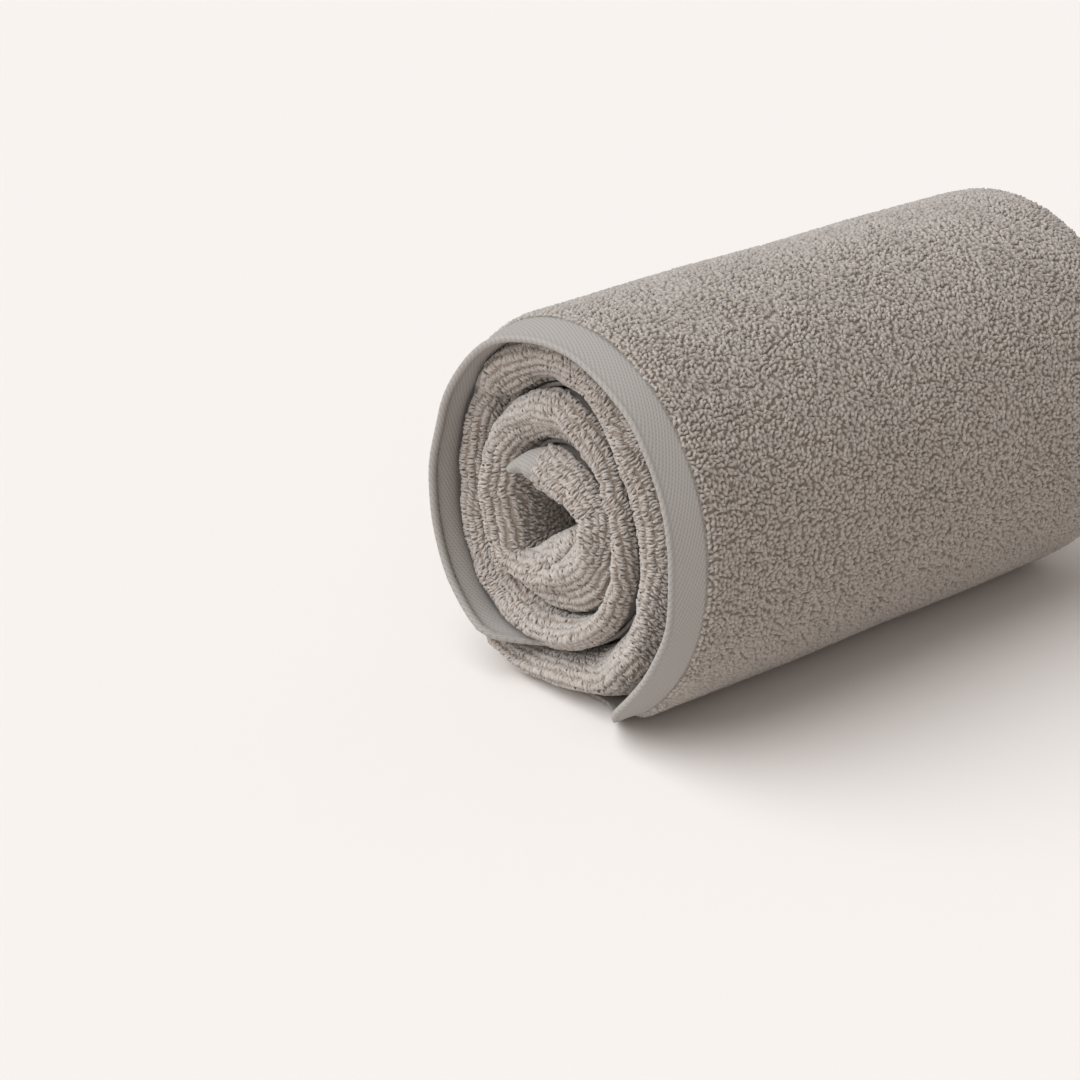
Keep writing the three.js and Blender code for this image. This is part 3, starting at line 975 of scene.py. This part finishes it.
def camera_axes(azimuth, elevation):
    a, e = math.radians(azimuth), math.radians(elevation)
    back = Vector((math.sin(a) * math.cos(e), -math.cos(a) * math.cos(e), math.sin(e)))
    right = Vector((math.cos(a), math.sin(a), 0))
    return right, back.cross(right), back


def add_camera():
    """The photograph's view of the hemmed end: the winding centre at the hem's edge falls on target_pixel."""
    image_size = 1080
    focal_pixels = 2900
    target_pixel = (544, 531)
    distance = 1.019
    target = Vector((0, -ROLL_LENGTH / 2, REST_DEPTH))
    right, up, back = camera_axes(50.4, 24.8)
    off_x = (target_pixel[0] - image_size / 2) / focal_pixels * distance
    off_y = (image_size / 2 - target_pixel[1]) / focal_pixels * distance
    data = bpy.data.cameras.new("camera")
    data.sensor_width = 36
    data.lens = focal_pixels * data.sensor_width / image_size
    data.clip_start = 0.05
    camera = bpy.data.objects.new("camera", data)
    bpy.context.scene.collection.objects.link(camera)
    camera.matrix_world = Matrix((
        (right.x, up.x, back.x, 0),
        (right.y, up.y, back.y, 0),
        (right.z, up.z, back.z, 0),
        (0, 0, 0, 1),
    ))
    camera.location = target + back * distance - right * off_x - up * off_y
    bpy.context.scene.camera = camera


def add_sun(name, towards, strength, spread, colour):
    """A soft sun that shines from the given direction, with its spread in degrees."""
    data = bpy.data.lights.new(name, "SUN")
    data.energy = strength
    data.angle = math.radians(spread)
    data.color = colour
    light = bpy.data.objects.new(name, data)
    bpy.context.scene.collection.objects.link(light)
    light.rotation_euler = Vector(towards).to_track_quat("Z", "Y").to_euler()


def add_studio():
    mesh = bpy.data.meshes.new("floor")
    half_width = 3.0
    corners = [(half_width * x, half_width * y, 0) for x, y in ((-1, -1), (1, -1), (1, 1), (-1, 1))]
    mesh.from_pydata(corners, [], [(0, 1, 2, 3)])
    floor = bpy.data.objects.new("floor", mesh)
    bpy.context.scene.collection.objects.link(floor)
    material, nodes, links, shader = make_material("floor")
    shader.inputs["Base Color"].default_value = (0.86, 0.81, 0.78, 1)
    shader.inputs["Roughness"].default_value = 1.0
    shader.inputs["Specular IOR Level"].default_value = 0.0
    mesh.materials.append(material)
    world = bpy.data.worlds.new("studio")
    world.use_nodes = True
    sky = world.node_tree.nodes["Background"]
    sky.inputs["Color"].default_value = (1.0, 0.946, 0.903, 1)
    sky.inputs["Strength"].default_value = 0.35
    bpy.context.scene.world = world
    add_sun("key", (-0.4, -0.8, 1.15), 3.0, 70, (0.93, 0.97, 1.0))
    add_sun("fill", (0.6, -0.8, 0.35), 0.45, 60, (1.0, 0.97, 0.94))
    bpy.context.scene.view_settings.view_transform = "Standard"


add_camera()
add_studio()
